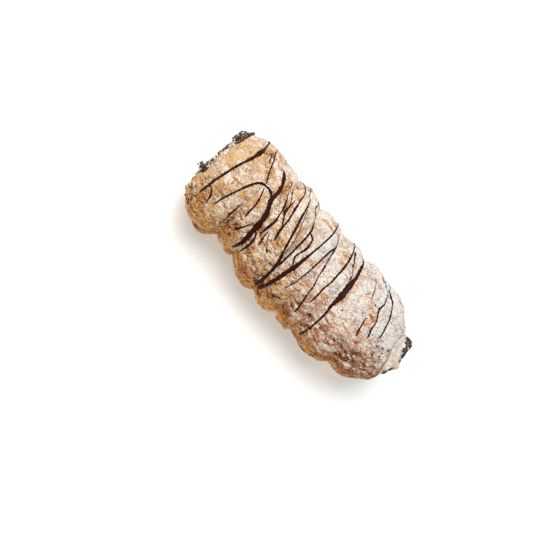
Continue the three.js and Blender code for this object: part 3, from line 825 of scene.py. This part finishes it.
# Clusters of crumbs on the cap, as (how many, middle in degrees, spread round, stretch of x, how far out).
CAP_CLUSTERS = [
    (90, -47, 11, (57.4, 60.6), (-0.1, 1)), (26, -55, 5, (56.2, 58), (-0.1, 0.6)),
    (26, -34, 4, (56.6, 59), (-0.1, 0.6)), (12, -29, 2.5, (58.4, 59.8), (-0.1, 0.8)),
    (50, -21, 4.5, (57.8, 60.8), (-0.1, 1)), (26, -11, 3.5, (59, 61.4), (0.4, 1.8)),
    (8, -5, 1.5, (60.6, 61.6), (1.4, 2.4)), (60, 37, 5, (60.1, 61.2), (0.2, 1.6)),
    (60, 26, 4.5, (61, 62.6), (0.2, 2)), (50, -100, 20, (59.6, 61.6), (-0.1, 1)),
]


def narrow_face_crumbs():
    """Crumbs in an arc at the back of the cap of cream, and a few below its peak."""
    for count, degrees, spread, stretch, out in CAP_CLUSTERS:
        for _ in range(count):
            angle = np.array(math.radians(degrees + spread * RANDOM.uniform(-1, 1)))
            radius = RANDOM.uniform(*CRUMB_SIZES)
            x = np.array(RANDOM.uniform(*stretch))
            yield crumb(cap_point(x, angle, RANDOM.uniform(*out)), radius)


SPECKS = 60
SPECK_SIZES = (0.2, 0.6)
# Two crowds of specks, as (x, spread along, degrees, spread round), and where the rest are strewn.
WIDE_CROWD = (-56, 1.6, 82, 9)
NARROW_CROWD = (50, 2.2, 22, 14)
STREWN_X = (-50, 55)
STREWN_DEGREES = (-60, 100)


def in_crowd(x, spread_along, degrees, spread_round):
    return x + RANDOM.normal() * spread_along, degrees + RANDOM.normal() * spread_round


def crust_crumbs():
    """Specks stuck to the crust near its ends, and strewn over its top and front."""
    for number in range(SPECKS):
        if number % 6 == 0:
            x, degrees = in_crowd(*NARROW_CROWD)
        elif number % 3:
            x, degrees = in_crowd(*WIDE_CROWD)
        else:
            x, degrees = RANDOM.uniform(*STREWN_X), RANDOM.uniform(*STREWN_DEGREES)
        angle = np.array(math.radians(degrees))
        radius = RANDOM.uniform(*SPECK_SIZES)
        yield crumb(roll_point(x, angle, crust_radius(np.array(x), angle) + 0.2 * radius), radius)


def make_crumbs():
    parts = [*wide_face_crumbs(), *narrow_face_crumbs(), *crust_crumbs()]
    return mesh_object("crumbs", *joined(parts), smooth_shaded=False)


crumbs = make_crumbs()

# ---- materials


class Nodes:
    """A short way to write a material's nodes."""

    def __init__(self, name):
        self.material = bpy.data.materials.new(name)
        self.material.use_nodes = True
        self.tree = self.material.node_tree
        self.shader = self.tree.nodes["Principled BSDF"]
        self.place = self.add("ShaderNodeTexCoord").outputs["Object"]

    def add(self, kind, inputs=(), **settings):
        node = self.tree.nodes.new(kind)
        for key, value in settings.items():
            setattr(node, key, value)
        for key, value in dict(inputs).items():
            self.put(node.inputs[key], value)
        return node

    def put(self, socket, value):
        if isinstance(value, bpy.types.NodeSocket):
            self.tree.links.new(value, socket)
        else:
            socket.default_value = value

    def set(self, **inputs):
        """Puts values in the shader's inputs, which have spaces for the underscores."""
        for key, value in inputs.items():
            self.put(self.shader.inputs[key.replace("_", " ")], value)

    def value(self, name):
        return self.add("ShaderNodeAttribute", attribute_name=name).outputs["Fac"]

    def noise(self, size, detail=3.0, rough=0.55, stretch=(1, 1, 1)):
        """Noise from 0 to 1 with features of that size in millimetres."""
        scaled = self.add("ShaderNodeMapping", {"Vector": self.place, "Scale": stretch}).outputs["Vector"]
        inputs = {"Vector": scaled, "Scale": 1 / (size * METRES), "Detail": detail, "Roughness": rough}
        return self.add("ShaderNodeTexNoise", inputs).outputs["Fac"]

    def sum(self, *terms):
        """The sum of (socket or number, factor) terms."""
        total = 0.0
        for term, factor in terms:
            inputs = {0: term, 1: factor, 2: total}
            total = self.add("ShaderNodeMath", inputs, operation="MULTIPLY_ADD").outputs[0]
        return total

    def times(self, a, b):
        return self.add("ShaderNodeMath", {0: a, 1: b}, operation="MULTIPLY").outputs[0]

    def step(self, value, low, high, start=0.0, end=1.0):
        inputs = {"Value": value, "From Min": low, "From Max": high, "To Min": start, "To Max": end}
        return self.add("ShaderNodeMapRange", inputs, interpolation_type="SMOOTHSTEP").outputs["Result"]

    def ramp(self, value, colours):
        """The colour at a value from 0 to 1, between colours at TONE_PLACES."""
        node = self.add("ShaderNodeValToRGB", {"Fac": value})
        elements = node.color_ramp.elements
        while len(elements) < len(colours):
            elements.new(0.5)
        for element, place, colour in zip(elements, TONE_PLACES, colours):
            element.position = place
            element.color = (*colour, 1)
        return node.outputs["Color"]

    def blend(self, share, a, b):
        node = self.add("ShaderNodeMix", data_type="RGBA")
        for key, value in ((0, share), (6, a), (7, b)):
            self.put(node.inputs[key], (*value, 1) if isinstance(value, tuple) else value)
        return node.outputs[2]

    def mottled(self, size, low, high, tones):
        return self.blend(self.step(self.noise(size), low, high), *tones)

    def roughness(self, size, detail, least, most):
        self.set(Roughness=self.step(self.noise(size, detail), 0.3, 0.7, least, most))

    def bump(self, height, distance, strength=1.0):
        """Lets the surface look raised by height times distance, in millimetres."""
        inputs = {"Height": height, "Distance": distance * METRES, "Strength": strength}
        self.set(Normal=self.add("ShaderNodeBump", inputs).outputs["Normal"])


def tone(code):
    """The linear colour of a hexadecimal sRGB code."""
    parts = [int(code[i : i + 2], 16) / 255 for i in (0, 2, 4)]
    return tuple(p / 12.92 if p <= 0.04045 else ((p + 0.055) / 1.055) ** 2.4 for p in parts)


def tones(*codes):
    return [tone(code) for code in codes]


# The crust from pale to dark brown: golden, and ruddy near the narrow end.
TONE_PLACES = (0, 0.22, 0.42, 0.6, 0.78, 1)
CRUST_TONES = tones("F0C68E", "E2A85A", "CF883F", "B3692F", "8B4A25", "522818")
RUDDY_TONES = tones("ECC4A4", "DEA47E", "CC8258", "B4663F", "8A4729", "552819")
SUGAR_FILM = tone("DDBDA9")
SUGAR_VEIL = tone("E5C8AC")
# Two tones of the powder each: where little sugar fell, and where much did.
SUGAR_THIN = tones("F2D3B6", "DDCEC2")
SUGAR_THICK = tones("FFEAD6", "F0E9E1")
# Dark specks of painted shade, as of small shaded pits in the sugar.
PIT_SHADE = tone("7D6350")
CRACK = tone("84593A")

# The two tones that each of these is mottled with.
CHOCOLATE_TONES = tones("260A02", "3E1709")
CAP_TONES = tones("D3BB95", "F6EAD6")
FACE_TONES = tones("F3EAD8", "E2D3B6")
DUST_TONES = tones("EDE2D8", "D3C4B8")
CRUMB_TONES = tones("2A1714", "8C6C63")
FLOOR_TONES = ((0.92, 0.945, 0.94), (0.935, 0.96, 0.955))
FLOOR_GLOW = (0.93, 1, 0.99, 1)
FLOOR_GLOW_STRENGTH = 0.3

CRUST_SHEEN = 0.12
CHOCOLATE_SHEEN = 0.13

# What is added to the sums of noise, to bring them back to about 0.
STREAKS_LEVEL = 0.5
BAKE_LEVEL = -2.7
SUGAR_LEVEL = -2.36
DUST_LEVEL = -1.1
# The sums between which the sugar veils the crust, covers it, and lies thick.
VEIL_STEP = (0.25, 0.5)
DUSTED_STEP = (0.44, 0.58)
THICK_STEP = (0.5, 0.95)


def crust_grain(n, fine, finer):
    """The grain of the baked crust: even on top, drawn into streaks along the roll where it is flaky."""
    even = n.sum((fine, 1.8), (finer, 3.2))
    thin, thick = n.noise(1.1, 2, stretch=(0.22, 1, 1)), n.noise(2.6, 2, stretch=(0.4, 1, 1))
    streaks = n.sum((thin, 1.7), (thick, 1.1), (fine, 1), (STREAKS_LEVEL, 1))
    return n.sum((even, 1), (n.times(n.value("flaky"), n.sum((streaks, 1), (even, -1))), 1))


# The crust's colour from its bake, with painted shade that darkens its crevices and its front.
def shaded_baked_crust(n, fine, finer, crevice_shade):
    grain = crust_grain(n, fine, finer)
    bake_and_shade = n.sum((n.value("bake_and_shade"), 1), (grain, 1), (n.noise(6), 0.3), (crevice_shade, 0.45), (BAKE_LEVEL, 1))
    return n.blend(n.value("ruddy"), n.ramp(bake_and_shade, CRUST_TONES), n.ramp(bake_and_shade, RUDDY_TONES))


def hairline_cracks(n):
    """Most on a few thin, winding lines."""
    swing = n.sum((n.noise(3.5, 2), 1), (-0.5, 1))
    away = n.add("ShaderNodeMath", {0: swing}, operation="ABSOLUTE").outputs[0]
    return n.times(n.step(away, 0.026, 0.008), n.step(n.noise(6, 1), 0.5, 0.56, 0, 0.7))


def crust_material():
    n = Nodes("crust")
    fine, finer = n.noise(1.5, 2), n.noise(0.65, 1)
    # Painted shade in the crevices: the crust is darker there and shows less sugar.
    crevice_shade = n.step(n.value("height"), 0.05, -0.55)
    fallen = n.value("cover")
    much = n.step(fallen, 0.55, 0.95)
    # The crust's colour, with painted shade in its crevices and on its front.
    baked = shaded_baked_crust(n, fine, finer, crevice_shade)
    filmed = n.blend(n.times(n.step(fallen, 0.35, 1.1), 0.5), baked, SUGAR_FILM)
    sugar = n.sum((n.value("sugar"), 1), (fine, 1.8), (finer, 3), (crevice_shade, -0.45), (SUGAR_LEVEL, 1))
    veiled = n.blend(n.times(n.step(sugar, *VEIL_STEP), 0.6), filmed, SUGAR_VEIL)
    powder = n.blend(n.step(sugar, *THICK_STEP), n.blend(much, *SUGAR_THIN), n.blend(much, *SUGAR_THICK))
    dusted = n.step(sugar, *DUSTED_STEP)
    # Painted shade: dark specks as of small pits, where sugar lies.
    pit_shade = n.times(n.step(n.noise(0.9, 1), 0.64, 0.71), n.step(fallen, 0, 0.6, 0, 0.7))
    surface = n.blend(pit_shade, n.blend(dusted, veiled, powder), PIT_SHADE)
    n.set(Base_Color=n.blend(hairline_cracks(n), surface, CRACK))
    n.set(Roughness=n.step(dusted, 0, 1, 0.5, 0.9), Specular_IOR_Level=CRUST_SHEEN)
    n.bump(n.sum((fine, 0.8), (finer, 1.0), (dusted, 0.3)), distance=0.7)
    return n.material


def chocolate_material():
    n = Nodes("chocolate")
    n.set(Base_Color=n.blend(n.noise(3), *CHOCOLATE_TONES), Specular_IOR_Level=CHOCOLATE_SHEEN)
    n.roughness(size=1.2, detail=3, least=0.4, most=0.6)
    n.bump(n.noise(0.9), distance=0.1, strength=0.6)
    return n.material


def cream_material():
    n = Nodes("cream")
    dust = n.step(n.sum((n.value("dust"), 1), (n.noise(1.4), 1.2), (DUST_LEVEL, 1)), -0.1, 0.5)
    cap = n.mottled(2.2, 0.38, 0.62, CAP_TONES)
    face = n.mottled(3, 0.4, 0.62, FACE_TONES)
    bare = n.blend(n.value("wide"), cap, face)
    n.set(Base_Color=n.blend(dust, bare, n.mottled(1.8, 0.4, 0.62, DUST_TONES)))
    n.roughness(size=2, detail=3, least=0.42, most=0.6)
    n.bump(n.noise(1.5, 4), distance=0.15, strength=0.5)
    return n.material


def crumb_material():
    n = Nodes("crumbs")
    n.set(Base_Color=n.mottled(1.1, 0.38, 0.66, CRUMB_TONES))
    n.roughness(size=0.5, detail=2, least=0.7, most=0.95)
    n.bump(n.noise(0.35), distance=0.12, strength=0.8)
    return n.material


def floor_material():
    n = Nodes("floor")
    n.set(Base_Color=n.blend(n.noise(400, 2), *FLOOR_TONES))
    n.roughness(size=300, detail=2, least=0.75, most=0.85)
    n.set(Emission_Color=FLOOR_GLOW, Emission_Strength=FLOOR_GLOW_STRENGTH)
    return n.material


crust.data.materials.append(crust_material())
chocolate.data.materials.append(chocolate_material())
cream.data.materials.append(cream_material())
crumbs.data.materials.append(crumb_material())

for piece, slot in ((crust, "crust"), (chocolate, "chocolate"), (cream, "cream"), (crumbs, "crumbs")):
    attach(piece, "root")
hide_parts("pastry")
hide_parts("pastry")
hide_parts("pastry")
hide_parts("cream")

# ---- floor, light and camera

FLOOR_SIZE = 6000.0

# Each light as (place, size, power, colour), in metres, and the light from all round.
KEY_LIGHT = ((-0.3, 0.22, 1.2), 1.1, 15.5, (1, 0.985, 0.965))
FILL_LIGHT = ((0.9, -0.6, 1.2), 1.2, 1.0, (0.95, 0.97, 1))
LIT_PLACE = (0, 0, 0.02)
SKY_COLOUR = (0.93, 0.96, 1.0, 1)
SKY_STRENGTH = 0.34


def make_floor():
    half = FLOOR_SIZE / 2
    corners = [(-half, -half, 0), (half, -half, 0), (half, half, 0), (-half, half, 0)]
    floor = mesh_object("floor", corners, [(0, 1, 2, 3)])
    floor.data.materials.append(floor_material())


def make_light(name, place, size, power, colour):
    data = bpy.data.lights.new(name, "AREA")
    data.shape = "DISK"
    data.size = size
    data.energy = power
    data.color = colour
    lamp = bpy.data.objects.new(name, data)
    lamp.location = place
    lamp.rotation_euler = (Vector(LIT_PLACE) - Vector(place)).to_track_quat("-Z", "Y").to_euler()
    bpy.context.scene.collection.objects.link(lamp)


def make_world():
    world = bpy.data.worlds.new("studio")
    world.use_nodes = True
    background = world.node_tree.nodes["Background"]
    background.inputs["Color"].default_value = SKY_COLOUR
    background.inputs["Strength"].default_value = SKY_STRENGTH
    bpy.context.scene.world = world


# The photograph's view, and where the middle of the roll lies in it.
IMAGE_SIZE = 533
ROLL_IN_IMAGE = (300.8, 264.5)
PIXEL_SIZE = 0.453  # at the roll
DISTANCE = 750.0
VIEW_TILT = math.radians(25)  # from straight above towards the front
VIEW_ALONG = -0.12  # along the roll, towards the wide end
ROLL_SLOPE = math.radians(50.5)
NEAREST_SHOWN = 0.01  # in metres


def view_axes():
    """Directions: from the roll to the eye, to the right in the image, and down in it."""
    side = math.sqrt(1 - VIEW_ALONG**2)
    toward = np.array([VIEW_ALONG, -math.sin(VIEW_TILT) * side, math.cos(VIEW_TILT) * side])
    roll_axis = np.array([1.0, 0, 0])
    level = roll_axis - roll_axis @ toward * toward
    level /= np.linalg.norm(level)
    below = np.cross(-toward, level)
    cos, sin = math.cos(ROLL_SLOPE), math.sin(ROLL_SLOPE)
    return toward, cos * level - sin * below, sin * level + cos * below


def make_camera():
    toward, right, down = view_axes()
    middle = np.array([0, 0, AXIS_HEIGHT])
    eye = middle + DISTANCE * toward
    off = [(IMAGE_SIZE / 2 - pixel) * PIXEL_SIZE for pixel in ROLL_IN_IMAGE]
    target = middle + off[0] * right + off[1] * down
    back = eye - target
    back /= np.linalg.norm(back)
    across = right - right @ back * back
    across /= np.linalg.norm(across)
    camera_data = bpy.data.cameras.new("camera")
    camera_data.angle = 2 * math.atan(IMAGE_SIZE * PIXEL_SIZE / 2 / np.linalg.norm(eye - target))
    camera_data.clip_start = NEAREST_SHOWN
    camera = bpy.data.objects.new("camera", camera_data)
    turn = Matrix((across, np.cross(back, across), back)).transposed()
    camera.matrix_world = Matrix.Translation(Vector(eye * METRES)) @ turn.to_4x4()
    bpy.context.scene.collection.objects.link(camera)
    bpy.context.scene.camera = camera


make_floor()
make_light("key", *KEY_LIGHT)
make_light("fill", *FILL_LIGHT)
make_world()
make_camera()
bpy.context.scene.view_settings.view_transform = "Standard"
